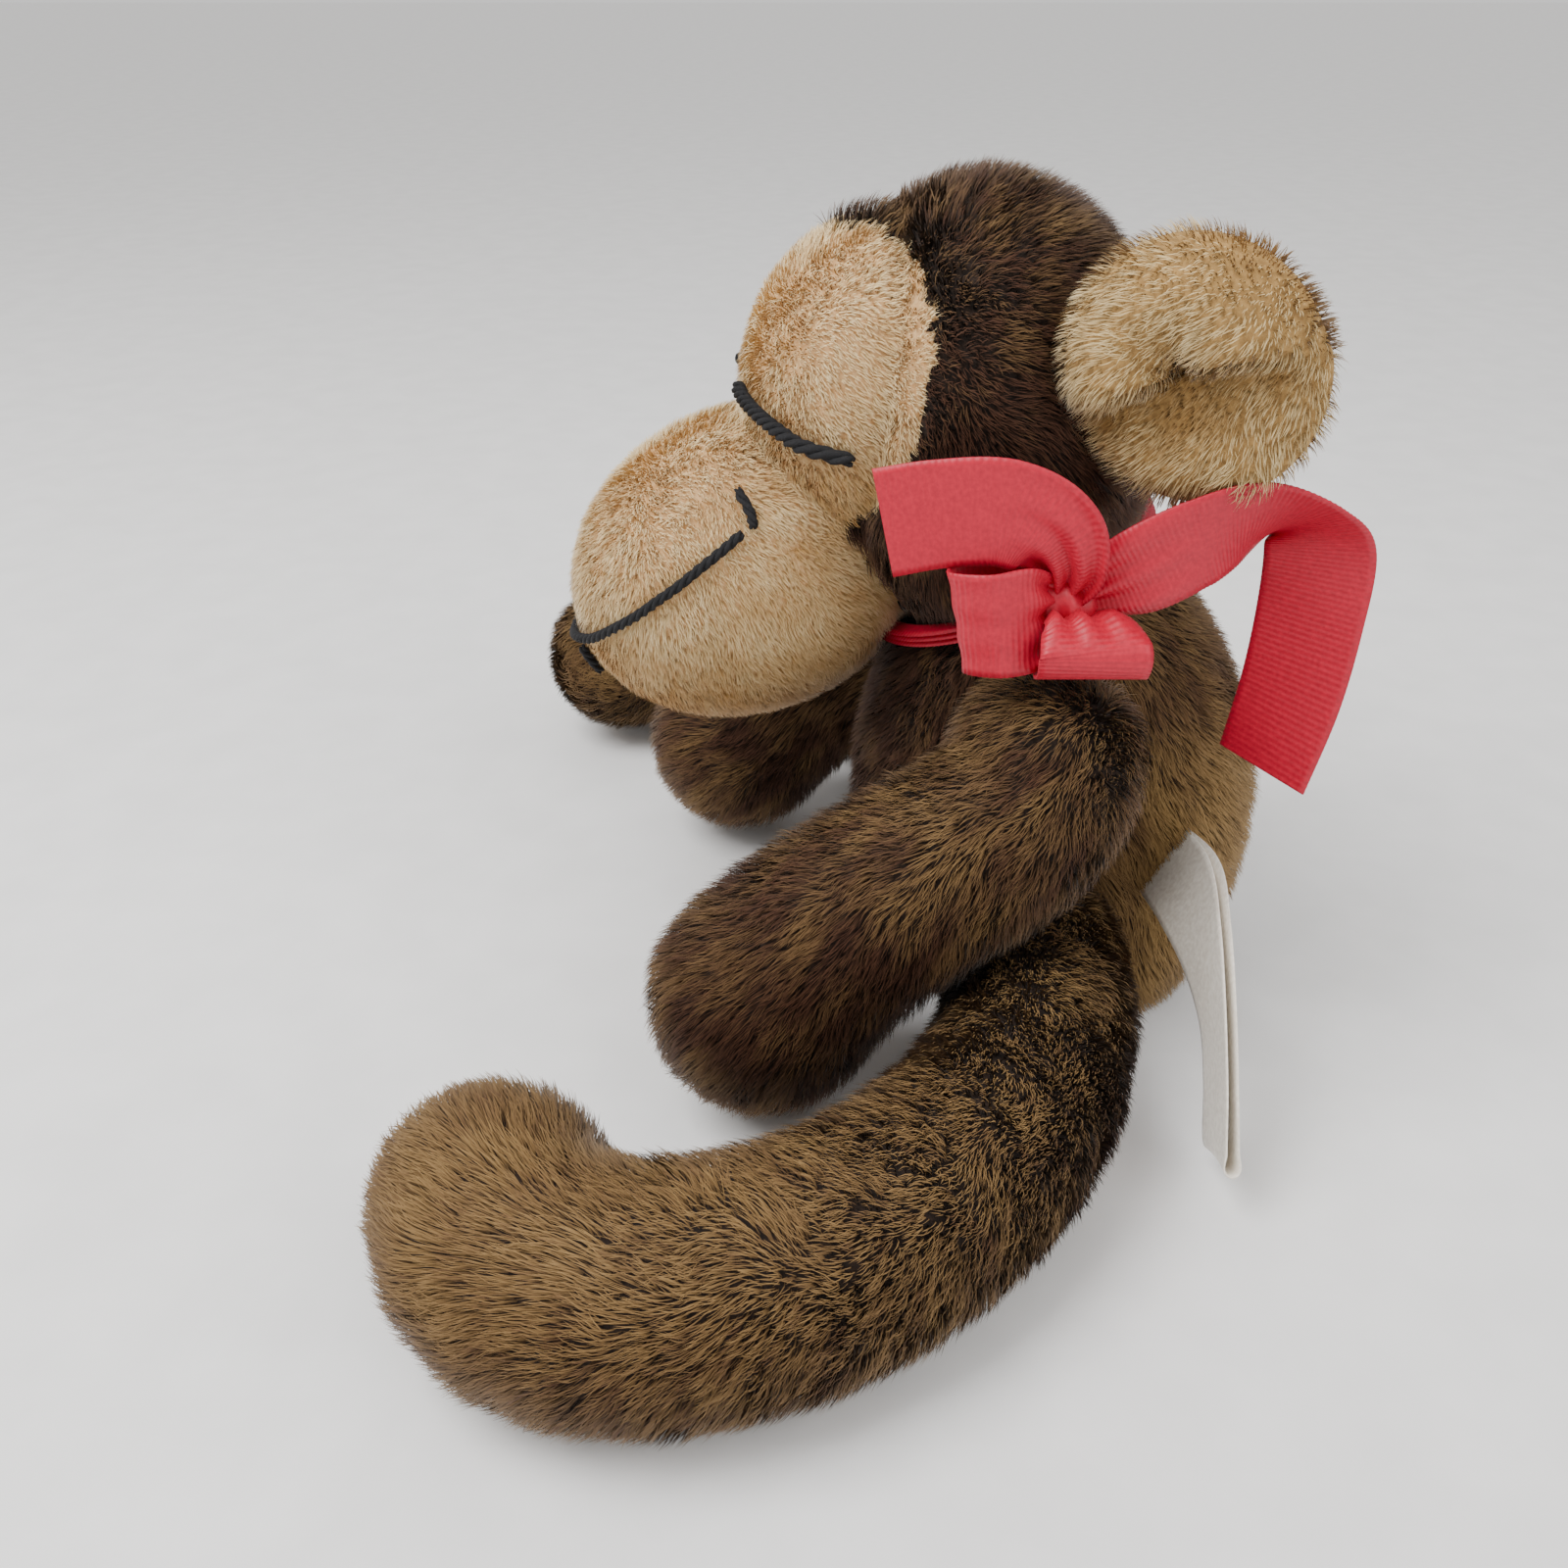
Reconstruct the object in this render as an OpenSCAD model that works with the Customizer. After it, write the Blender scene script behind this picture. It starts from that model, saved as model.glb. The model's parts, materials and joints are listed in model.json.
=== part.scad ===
// Seated plush monkey with a turning head, swinging arms and legs, and a ribbon bow.
// It faces -Y, its left side is +X, and the origin is the middle of its seat, on the floor.

/* [Fabric] */
// Thickness of a plush panel with its backing
plush = 1.5; // [1:0.1:2]
// Free gap between a limb or the head and the torso
joint_gap = 0.3; // [0.2:0.05:0.6]

/* [Torso] */
// Height of the neck joint above the floor
neck_height = 78; // [76:0.5:80]
// How far the neck axis leans forward
neck_lean = 25; // [22:0.5:28]
// Half the distance between the left and right joint faces
joint_face = 24.5; // [23:0.25:26]

/* [Head] */
// Height of the middle of the hood
hood_height = 106; // [105:0.5:108]
// Radius of the hood across the head
hood_radius = 36; // [34:0.5:37]
// Half the length of the hood from front to back
hood_half_length = 28.5; // [27:0.5:30]
// Radius of the muzzle across its length
muzzle_radius = 26.5; // [25:0.25:27]
// Half the length of the muzzle
muzzle_half_length = 32; // [30:0.5:33]
// How far the muzzle points down
muzzle_dip = 25; // [20:1:30]
// Radius of an ear
ear_radius = 18.5; // [16:0.5:20]
// Thickness of an ear, front and back panel together
ear_thickness = 9; // [7:0.5:11]

/* [Limbs] */
// Height of the shoulder joint
shoulder_height = 60; // [58:0.5:61]
// Radius of the upper arm
arm_radius = 15; // [14:0.25:15.5]
// Radius of the hand
hand_radius = 18.5; // [17:0.25:19]
// Height of the hip joint
hip_height = 18.5; // [18:0.25:19.5]
// Radius of the leg at the hip
leg_radius = 15; // [14:0.25:15.5]
// Radius of the foot
foot_radius = 17; // [16:0.25:17.5]

/* [Joint hardware] */
// Radius of a joint's bolt
bolt_radius = 1.5; // [1.25:0.05:2]
// Radial clearance of a bolt in the disc that turns on it
running_clearance = 0.05; // [0.02:0.01:0.09]
// Radius of a shoulder or hip disc
disc_radius = 6.5; // [6:0.25:7]
// Radius of a neck disc
neck_disc_radius = 12; // [10:0.5:14]
// Thickness of a disc
disc_thickness = 1.6; // [1.2:0.1:2]

/* [Ribbon and label] */
// Width of the ribbon
ribbon_width = 16; // [14:0.5:17]
// Thickness of the ribbon
ribbon_thickness = 0.8; // [0.6:0.1:1]
// Width of the care label
label_width = 13; // [10:0.5:14]
// Thickness of the folded care label
label_thickness = 1.2; // [0.8:0.1:1.6]

/* [Hidden] */

brown = "#5a4029";
tan_plush = "#d9b98a";
ear_tan = "#cdb07c";
filling = "#efece4";
board = "#a5855a";
steel = "#b8bcc2";
ribbon_red = "#cc2440";
yarn = "#17151a";
satin = "#ece6da";

// Sides of a soft tube's rings and the stations along it
ring_sides = 20;
stations = 12;
cap_stations = 4;
// Larger than the whole toy, for cutting planes
big = 400;

neck_y = -11;
neck_pivot = [0, neck_y, neck_height];
shoulder_y = -9;
hip_y = -7;

washer_thickness = 0.5;
washer_radius = 4;
nut_thickness = 2.2;
nut_radius = 3.2;
head_thickness = 1.5;
head_radius = 3;
fixed_clearance = 0.02;

// Spines and radii of the soft parts, each a Bezier curve
torso_spine = [[0, 0, 0], [0, 0, 30],
               neck_pivot - 24 * [0, -sin(neck_lean), cos(neck_lean)], neck_pivot];
torso_half_widths = [27, 31, 31, 24];
torso_half_depths = [26, 42, 38, 19];
arm_spine = [[36, shoulder_y, shoulder_height], [42, -9, 47], [46, -36, 45], [47, -53, 22.5]];
arm_radii = [arm_radius, arm_radius + 0.5, arm_radius - 0.5, hand_radius];
// The right hand reaches a little further forward
right_arm_spine = [[36, shoulder_y, shoulder_height], [42, -9, 47], [46, -40, 45], [47, -59, 22.5]];
leg_spine = [[32, hip_y, hip_height], [84, -6, 16], [119, -53, 17.5], [113, -86, 17.5], [95, -89, 21]];
leg_radii = [leg_radius, leg_radius + 1, foot_radius, foot_radius, foot_radius];
// Where the leg's skin is divided, as shares of its spine
knee = 0.18;
ankle = 0.6;

hood_centre = [0, -18, hood_height];
muzzle_centre = [0, -56, 79.5];
brow_centre = [0, -34, 109];
brow_radius = 28;
brow_half_length = 24;
// The mouth runs up and back from the front of the lip
mouth_slope = 40;
lip = [0, -81, 72];

ear_centre = [41, 6, 121];
ear_turn = -33;
// The right ear is sewn on further forward and lower
right_ear_shift = [0, -20, -7];

yarn_height = 0.9;
yarn_width = 2.4;
eye_centre = [18, -48, 108];
eye_length = 21;
eye_droop = 21;
mouth_reach = 33;

neckband_radius = 24.3;
neckband_rise = 1.75;
neckband_thickness = 2.2;
groove_slack = 0.05;
knot_centre = [39.5, -9, 87];
tail_x = 41;

function unit(v) = v / norm(v);

function bezier(points, t) = len(points) == 1
    ? points[0]
    : bezier([for (i = [0:len(points) - 2]) points[i] * (1 - t) + points[i + 1] * t], t);

function heading(spine, t) = unit(bezier(spine, min(1, t + 0.01)) - bezier(spine, max(0, t - 0.01)));

// One ring of a soft tube, as [centre, heading, half width, half depth]
function spine_ring(spine, wide, deep, t) =
    [bezier(spine, t), heading(spine, t), bezier(wide, t), bezier(deep, t)];

// The rings of a round end, shrinking from the end of the spine outwards
function cap_rings(ring, outward) = [
    for (i = [1:cap_stations])
        let (angle = 82 * i / cap_stations)
        [ring[0] + outward * ring[2] * sin(angle) * ring[1], ring[1],
         ring[2] * cos(angle), ring[3] * cos(angle)]
];

function reversed(list) = [for (i = [len(list) - 1:-1:0]) list[i]];

function tube_rings(spine, wide, deep, round_ends) =
    let (body = [for (i = [0:stations]) spine_ring(spine, wide, deep, i / stations)])
    round_ends
        ? concat(reversed(cap_rings(body[0], -1)), body, cap_rings(body[stations], 1))
        : body;

function ring_points(ring, side_hint) =
    let (side = unit(cross(ring[1], side_hint)), up = cross(side, ring[1]))
    [for (i = [0:ring_sides - 1])
        let (angle = 360 * i / ring_sides)
        ring[0] + ring[2] * cos(angle) * side + ring[3] * sin(angle) * up];

// A closed soft tube through its rings, with a point at the middle of each end
module soft_tube(spine, wide, deep, side_hint, round_ends = true) {
    rings = tube_rings(spine, wide, deep, round_ends);
    count = len(rings);
    first = rings[0];
    last = rings[count - 1];
    bulge = round_ends ? 0.01 : 0;
    points = concat(
        [first[0] - first[2] * bulge * first[1]],
        [for (ring = rings) each ring_points(ring, side_hint)],
        [last[0] + last[2] * bulge * last[1]]
    );
    faces = concat(
        [for (j = [0:ring_sides - 1]) [0, 1 + (j + 1) % ring_sides, 1 + j]],
        [for (i = [0:count - 2]) for (j = [0:ring_sides - 1])
            let (a = 1 + i * ring_sides, b = a + ring_sides, k = (j + 1) % ring_sides)
            [a + j, a + k, b + k, b + j]],
        [for (j = [0:ring_sides - 1])
            let (a = 1 + (count - 1) * ring_sides)
            [1 + count * ring_sides, a + j, a + (j + 1) % ring_sides]]
    );
    polyhedron(points, faces, convexity = 4);
}

function inset_list(values, inset) = [for (value = values) value - inset];

// Everything outboard of a plane across X
module outboard(x) {
    translate([x, -big / 2, -big / 2]) cube(big);
}

module torso_shape(inset) {
    intersection() {
        soft_tube(torso_spine, inset_list(torso_half_widths, inset), inset_list(torso_half_depths, inset),
                  [0, -1, 0], false);
        translate([-joint_face + inset, -big / 2, inset]) cube([2 * (joint_face - inset), big, big]);
        at_neck() translate([-big / 2, -big / 2, -big - inset]) cube(big);
    }
}

module arm_shape(spine, inset) {
    intersection() {
        soft_tube(spine, inset_list(arm_radii, inset), inset_list(arm_radii, inset), [1, 0, 0]);
        outboard(joint_face + joint_gap + inset);
    }
}

module leg_shape(inset) {
    intersection() {
        soft_tube(leg_spine, inset_list(leg_radii, inset), inset_list(leg_radii, inset), [0, 0, 1]);
        outboard(joint_face + joint_gap + inset);
    }
}

// Joint frames: +Z points out of the torso and z = 0 is the torso's joint face
module at_neck() {
    translate(neck_pivot) rotate([neck_lean, 0, 0]) children();
}

module at_shoulder() {
    translate([joint_face, shoulder_y, shoulder_height]) rotate([0, 90, 0]) children();
}

module at_hip() {
    translate([joint_face, hip_y, hip_height]) rotate([0, 90, 0]) children();
}

// Levels along a joint axis, from the locknut inside the torso to the bolt's head
inner_disc_top = -plush;
inner_disc_bottom = inner_disc_top - disc_thickness;
washer_bottom = inner_disc_bottom - washer_thickness;
nut_bottom = washer_bottom - nut_thickness;
bolt_bottom = nut_bottom - 0.8;
outer_disc_bottom = joint_gap + plush;
outer_disc_top = outer_disc_bottom + disc_thickness;
bolt_top = outer_disc_top + head_thickness;

module ring_plate(radius, bore, bottom, thickness) {
    translate([0, 0, bottom]) difference() {
        cylinder(r = radius, h = thickness, $fn = 48);
        translate([0, 0, -1]) cylinder(r = bore, h = thickness + 2, $fn = 32);
    }
}

// The disc inside the torso, which the bolt turns in
module inner_disc(radius) {
    ring_plate(radius, bolt_radius + running_clearance, inner_disc_bottom, disc_thickness);
}

// The disc inside the limb or the head, which the bolt turns with
module outer_disc(radius) {
    ring_plate(radius, bolt_radius + fixed_clearance, outer_disc_bottom, disc_thickness);
}

module washer() {
    ring_plate(washer_radius, bolt_radius + running_clearance, washer_bottom, washer_thickness);
}

module bolt() {
    translate([0, 0, bolt_bottom]) cylinder(r = bolt_radius, h = outer_disc_top - bolt_bottom, $fn = 32);
    translate([0, 0, outer_disc_top])
        cylinder(r1 = head_radius, r2 = head_radius - 1, h = head_thickness, $fn = 32);
}

module locknut() {
    translate([0, 0, nut_bottom]) difference() {
        cylinder(r = nut_radius, h = nut_thickness, $fn = 6);
        translate([0, 0, -1]) cylinder(r = bolt_radius + fixed_clearance, h = nut_thickness + 2, $fn = 32);
    }
}

module bolt_hole() {
    translate([0, 0, -8]) cylinder(r = bolt_radius + running_clearance, h = 16, $fn = 32);
}

// The space that the disc, washer, locknut and bolt's end take inside the torso
module inner_pocket(radius) {
    translate([0, 0, inner_disc_bottom]) cylinder(r = radius, h = disc_thickness + 1, $fn = 48);
    translate([0, 0, washer_bottom]) cylinder(r = washer_radius, h = washer_thickness + 1, $fn = 48);
    translate([0, 0, nut_bottom]) cylinder(r = nut_radius, h = nut_thickness + 1, $fn = 32);
    translate([0, 0, bolt_bottom]) cylinder(r = bolt_radius, h = 2, $fn = 32);
}

// The space that the disc and the bolt's head take inside the limb or the head
module outer_pocket(radius) {
    translate([0, 0, outer_disc_bottom - 1]) cylinder(r = radius, h = disc_thickness + 1, $fn = 48);
    translate([0, 0, outer_disc_top - 1]) cylinder(r = head_radius, h = head_thickness + 1, $fn = 32);
}

module each_side() {
    children();
    mirror([1, 0, 0]) children();
}

// Torso

module torso_skin() {
    difference() {
        torso_shape(0);
        torso_shape(plush);
        each_side() at_shoulder() bolt_hole();
        each_side() at_hip() bolt_hole();
        at_neck() bolt_hole();
    }
}

module torso_left_panel() {
    color(brown) intersection() {
        torso_skin();
        outboard(0);
    }
}

module torso_right_panel() {
    color(brown) intersection() {
        torso_skin();
        mirror([1, 0, 0]) outboard(0);
    }
}

module torso_stuffing() {
    color(filling) difference() {
        torso_shape(plush);
        each_side() at_shoulder() inner_pocket(disc_radius);
        each_side() at_hip() inner_pocket(disc_radius);
        at_neck() inner_pocket(neck_disc_radius);
    }
}

module shoulder_inner_disc() {
    color(board) at_shoulder() inner_disc(disc_radius);
}

module hip_inner_disc() {
    color(board) at_hip() inner_disc(disc_radius);
}

module neck_lower_disc() {
    color(board) at_neck() inner_disc(neck_disc_radius);
}

module torso_washers() {
    color(steel) {
        each_side() at_shoulder() washer();
        each_side() at_hip() washer();
        at_neck() washer();
    }
}

// The label stands out from the side seam on its edge and bends down to the floor
label_line = [[joint_face - 0.2, 34], [44, 41], [62, 27], [69, 9.5]];
label_y = 16;

function label_edge(side) = [
    for (i = [0:10])
        let (t = i / 10, along = heading(label_line, t))
        bezier(label_line, t) + side * label_width / 2 * [along[1], -along[0]]
];

module care_label() {
    color(satin) intersection() {
        translate([0, label_y, 0]) rotate([90, 0, 0]) linear_extrude(label_thickness)
            polygon(concat(label_edge(1), reversed(label_edge(-1))));
        outboard(joint_face);
    }
}

// Head

// An egg with its long axis along Y
module egg(radius, half_length) {
    rotate([90, 0, 0]) rotate_extrude($fn = 64)
        polygon([for (i = [-12:12]) [radius * cos(i * 7.5), half_length * sin(i * 7.5)]]);
}

module hood_egg(inset) {
    translate(hood_centre) egg(hood_radius - inset, hood_half_length - inset);
}

module brow_egg(inset) {
    translate(brow_centre) egg(brow_radius - inset, brow_half_length - inset);
}

module muzzle_egg(inset) {
    translate(muzzle_centre) rotate([muzzle_dip, 0, 0])
        egg(muzzle_radius - inset, muzzle_half_length - inset);
}

module above_neck(inset) {
    at_neck() translate([-big / 2, -big / 2, joint_gap + inset]) cube(big);
}

// The ribbon's band presses this groove into the head all round the neck
module neck_groove(inset) {
    at_neck() translate([0, 0, neckband_rise]) rotate_extrude($fn = 64)
        translate([neckband_radius, 0]) circle(r = neckband_thickness / 2 + groove_slack + inset, $fn = 24);
}

module hood_shape(inset) {
    difference() {
        intersection() {
            hood_egg(inset);
            above_neck(inset);
        }
        neck_groove(inset);
    }
}

module muzzle_shape(inset) {
    difference() {
        muzzle_egg(inset);
        neck_groove(inset);
    }
}

module above_mouth() {
    translate(lip) rotate([mouth_slope, 0, 0]) translate([-big / 2, -big / 2, 0]) cube(big);
}

module hood_skin() {
    color(brown) difference() {
        hood_shape(0);
        hood_shape(plush);
        brow_egg(0);
        muzzle_egg(0);
        at_neck() bolt_hole();
    }
}

module brow_skin() {
    color(tan_plush) difference() {
        brow_egg(0);
        brow_egg(plush);
        hood_egg(0);
        muzzle_egg(0);
    }
}

module muzzle_shell() {
    difference() {
        muzzle_shape(0);
        muzzle_shape(plush);
        hood_shape(0);
        brow_egg(0);
    }
}

module muzzle_skin() {
    color(tan_plush) intersection() {
        muzzle_shell();
        above_mouth();
    }
}

module chin_skin() {
    color(tan_plush) difference() {
        muzzle_shell();
        above_mouth();
    }
}

module head_stuffing() {
    color(filling) difference() {
        union() {
            hood_shape(plush);
            brow_egg(plush);
            muzzle_egg(plush);
        }
        neck_groove(plush);
        at_neck() outer_pocket(neck_disc_radius);
    }
}

module at_ear(shift) {
    translate(ear_centre + shift) rotate([0, 0, ear_turn]) rotate([0, 90, 0]) children();
}

// Half an ear: a shallow dome on its flat seam face, sewn against the hood
module ear_half(outward, shift) {
    difference() {
        at_ear(shift) rotate([outward > 0 ? 0 : 180, 0, 0]) rotate_extrude($fn = 64)
            polygon(concat([[0, 0]], [for (i = [0:12])
                [ear_radius * cos(i * 7.5), ear_thickness / 2 * sin(i * 7.5)]]));
        hood_egg(0);
    }
}

module ear_front(shift) {
    color(ear_tan) ear_half(1, shift);
}

module ear_back(shift) {
    color(ear_tan) ear_half(-1, shift);
}

// A layer of yarn standing on the surface of an egg
module muzzle_yarn() {
    difference() {
        muzzle_egg(-yarn_height);
        muzzle_egg(0);
    }
}

module brow_yarn() {
    difference() {
        brow_egg(-yarn_height);
        brow_egg(0);
    }
}

// Closed eye: a line of yarn across the lower brow that droops outwards
module eye_stitch() {
    color(yarn) difference() {
        intersection() {
            brow_yarn();
            translate(eye_centre) rotate([0, eye_droop, 0])
                cube([eye_length, 30, yarn_width], center = true);
        }
        hood_egg(0);
    }
}

// The mouth: a bow of yarn round the front of the muzzle, along its seam
module mouth_stitch() {
    color(yarn) intersection() {
        muzzle_yarn();
        translate(lip) rotate([mouth_slope, 0, 0])
            translate([-big / 2, -big / 2, -yarn_width / 2]) cube([big, big / 2 + mouth_reach, yarn_width]);
    }
}

module mouth_corner_stitches() {
    color(yarn) intersection() {
        muzzle_yarn();
        each_side() translate(lip) rotate([mouth_slope, 0, 0])
            translate([10, mouth_reach, -1]) cube([20, yarn_width, 6]);
    }
}

module lip_stitches() {
    color(yarn) difference() {
        intersection() {
            muzzle_yarn();
            each_side() translate(lip + [3, -8, -11]) rotate([0, 20, 0]) cube([yarn_width, 12, 9]);
        }
        translate([0, 0, -yarn_width]) above_mouth();
    }
}

module neck_upper_disc() {
    color(board) at_neck() outer_disc(neck_disc_radius);
}

module neck_bolt() {
    color(steel) at_neck() bolt();
}

module neck_locknut() {
    color(steel) at_neck() locknut();
}

// Ribbon, tied round the neck with its bow on the left

// A round bar of ribbon gathered tight, between two points
module gathered_ribbon(from, to, radius) {
    length = norm(to - from);
    tilt = acos((to[2] - from[2]) / length);
    turn = atan2(to[1] - from[1], to[0] - from[0]);
    translate(from) rotate([0, tilt, turn]) cylinder(r = radius, h = length, $fn = 24);
}

module ribbon_neckband() {
    color(ribbon_red) {
        at_neck() translate([0, 0, neckband_rise])
            rotate_extrude($fn = 64) translate([neckband_radius, 0])
                circle(d = neckband_thickness, $fn = 24);
        gathered_ribbon([neckband_radius, -10.5, 80.1], knot_centre - [4, 0, 1], 1.2);
    }
}

module ribbon_knot() {
    color(ribbon_red) translate(knot_centre) egg(5, 5.5);
}

// A loop of ribbon: a short oval tube
module ribbon_loop(radius, width) {
    translate([0, 0, -width / 2]) difference() {
        cylinder(r = radius, h = width, $fn = 48);
        translate([0, 0, -1]) cylinder(r = radius - ribbon_thickness, h = width + 2, $fn = 48);
    }
}

module ribbon_front_loop() {
    color(ribbon_red) translate(knot_centre + [3, -11, -0.8]) rotate([0, 90, 0]) ribbon_loop(6, 10);
}

module ribbon_lower_loop() {
    color(ribbon_red) translate(knot_centre + [7.2, 3.2, -4.5]) rotate([90, 0, 0])
        ribbon_loop(4.2, ribbon_width);
}

// A flat length of ribbon facing sideways, from [y, z] to [y, z] corners
module ribbon_plate(low, high) {
    translate([tail_x, low[0], low[1]]) cube([ribbon_thickness, high[0] - low[0], high[1] - low[1]]);
}

module ribbon_front_tail() {
    color(ribbon_red) ribbon_plate([-36, 92.5], [-7, 92.5 + ribbon_width]);
}

module ribbon_rear_tail() {
    color(ribbon_red) {
        ribbon_plate([-3.6, 83.5], [32, 97]);
        ribbon_plate([32 - 13.5, 56], [32, 83.6]);
    }
}

// Limbs

module arm_skin(spine) {
    color(brown) difference() {
        arm_shape(spine, 0);
        arm_shape(spine, plush);
        at_shoulder() bolt_hole();
    }
}

module arm_stuffing(spine) {
    color(filling) difference() {
        arm_shape(spine, plush);
        at_shoulder() outer_pocket(disc_radius);
    }
}

module leg_skin() {
    color(brown) difference() {
        leg_shape(0);
        leg_shape(plush);
        at_hip() bolt_hole();
    }
}

// Everything beyond a station of a leg's spine
module beyond(station) {
    way = heading(leg_spine, station);
    translate(bezier(leg_spine, station)) rotate([0, 0, atan2(way[1], way[0])]) outboard(0);
}

module leg_upper_skin() {
    difference() {
        leg_skin();
        beyond(knee);
    }
}

module leg_middle_skin() {
    difference() {
        intersection() {
            leg_skin();
            beyond(knee);
        }
        beyond(ankle);
    }
}

module leg_foot_skin() {
    intersection() {
        leg_skin();
        beyond(ankle);
    }
}

module leg_stuffing() {
    color(filling) difference() {
        leg_shape(plush);
        at_hip() outer_pocket(disc_radius);
    }
}

module arm_disc() {
    color(board) at_shoulder() outer_disc(disc_radius);
}

module arm_bolt() {
    color(steel) at_shoulder() bolt();
}

module arm_locknut() {
    color(steel) at_shoulder() locknut();
}

module leg_disc() {
    color(board) at_hip() outer_disc(disc_radius);
}

module leg_bolt() {
    color(steel) at_hip() bolt();
}

module leg_locknut() {
    color(steel) at_hip() locknut();
}

torso_left_panel();
torso_right_panel();
torso_stuffing();
care_label();
shoulder_inner_disc();  // left_shoulder_disc
mirror([1, 0, 0]) shoulder_inner_disc();  // right_shoulder_disc
hip_inner_disc();  // left_hip_disc
mirror([1, 0, 0]) hip_inner_disc();  // right_hip_disc
neck_lower_disc();
torso_washers();
hood_skin();
brow_skin();
muzzle_skin();
chin_skin();
head_stuffing();
ear_front([0, 0, 0]);  // left_ear_front
ear_back([0, 0, 0]);  // left_ear_back
mirror([1, 0, 0]) ear_front(right_ear_shift);  // right_ear_front
mirror([1, 0, 0]) ear_back(right_ear_shift);  // right_ear_back
eye_stitch();  // left_eye_stitch
mirror([1, 0, 0]) eye_stitch();  // right_eye_stitch
mouth_stitch();
mouth_corner_stitches();
lip_stitches();
neck_upper_disc();
neck_bolt();
neck_locknut();
ribbon_neckband();
ribbon_knot();
ribbon_front_loop();
ribbon_lower_loop();
ribbon_front_tail();
ribbon_rear_tail();
arm_skin(arm_spine);  // left_arm_skin
arm_stuffing(arm_spine);  // left_arm_stuffing
arm_disc();  // left_arm_disc
arm_bolt();  // left_arm_bolt
arm_locknut();  // left_arm_locknut
mirror([1, 0, 0]) arm_skin(right_arm_spine);  // right_arm_skin
mirror([1, 0, 0]) arm_stuffing(right_arm_spine);  // right_arm_stuffing
mirror([1, 0, 0]) arm_disc();  // right_arm_disc
mirror([1, 0, 0]) arm_bolt();  // right_arm_bolt
mirror([1, 0, 0]) arm_locknut();  // right_arm_locknut
leg_upper_skin();  // left_leg_upper_skin
leg_middle_skin();  // left_leg_middle_skin
leg_foot_skin();  // left_leg_foot_skin
leg_stuffing();  // left_leg_stuffing
leg_disc();  // left_leg_disc
leg_bolt();  // left_leg_bolt
leg_locknut();  // left_leg_locknut
mirror([1, 0, 0]) leg_upper_skin();  // right_leg_upper_skin
mirror([1, 0, 0]) leg_middle_skin();  // right_leg_middle_skin
mirror([1, 0, 0]) leg_foot_skin();  // right_leg_foot_skin
mirror([1, 0, 0]) leg_stuffing();  // right_leg_stuffing
mirror([1, 0, 0]) leg_disc();  // right_leg_disc
mirror([1, 0, 0]) leg_bolt();  // right_leg_bolt
mirror([1, 0, 0]) leg_locknut();  // right_leg_locknut
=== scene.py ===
"""The looks of a seated plush monkey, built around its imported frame.

Soft parts start from the solid filling of each CAD part, are remeshed, and swell in a cloth
simulation. A pile of single hairs is then grown on them. Lengths are in metres.
"""

import json
import math

import bpy
import numpy as np
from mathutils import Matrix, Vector
from mathutils.bvhtree import BVHTree


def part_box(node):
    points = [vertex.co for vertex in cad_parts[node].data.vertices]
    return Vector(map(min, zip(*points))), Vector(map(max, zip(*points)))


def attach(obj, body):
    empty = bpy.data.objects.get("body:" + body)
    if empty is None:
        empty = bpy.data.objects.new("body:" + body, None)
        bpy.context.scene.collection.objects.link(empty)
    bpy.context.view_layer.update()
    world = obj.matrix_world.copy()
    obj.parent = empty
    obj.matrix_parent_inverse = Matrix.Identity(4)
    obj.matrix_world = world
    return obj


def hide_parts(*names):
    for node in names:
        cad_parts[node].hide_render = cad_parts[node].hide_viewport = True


MM = 0.001
HAIR_UV = "OFBake"

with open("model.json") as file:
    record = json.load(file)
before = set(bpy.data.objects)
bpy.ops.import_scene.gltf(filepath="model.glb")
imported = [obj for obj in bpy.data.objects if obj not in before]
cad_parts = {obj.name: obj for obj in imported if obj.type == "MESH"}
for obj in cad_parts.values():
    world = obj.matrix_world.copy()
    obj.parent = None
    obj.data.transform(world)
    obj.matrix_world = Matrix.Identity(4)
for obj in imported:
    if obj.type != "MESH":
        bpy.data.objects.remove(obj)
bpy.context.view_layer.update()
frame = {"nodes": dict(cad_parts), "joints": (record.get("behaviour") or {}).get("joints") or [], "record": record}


# Small helpers

def mid(node):
    """The middle of a CAD node's box."""
    low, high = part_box(node)
    return np.array((low + high) / 2)


def unit(vectors):
    """Each row at length 1."""
    vectors = np.asarray(vectors, float)
    return vectors / np.maximum(np.linalg.norm(vectors, axis=-1, keepdims=True), 1e-12)


def smoothstep(values, low, high):
    """0 below low, 1 above high, and a smooth rise between them."""
    share = np.clip((values - low) / (high - low), 0, 1)
    return share * share * (3 - 2 * share)


def wave_noise(points, scale, seed, count=16):
    """A smooth random field with a spread of about 1 and bumps about scale apart."""
    random = np.random.default_rng(seed)
    directions = unit(random.normal(size=(count, 3)))
    rates = 2 * math.pi / scale * random.uniform(0.6, 1.5, (count, 1))
    phases = random.uniform(0, 2 * math.pi, count)
    return np.sin(points @ (directions * rates).T + phases).sum(1) * math.sqrt(2 / count)


def wave_vectors(points, scale, seed):
    """Three wave fields, as a vector at each point."""
    return np.stack([wave_noise(points, scale, seed + i) for i in range(3)], 1)


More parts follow.
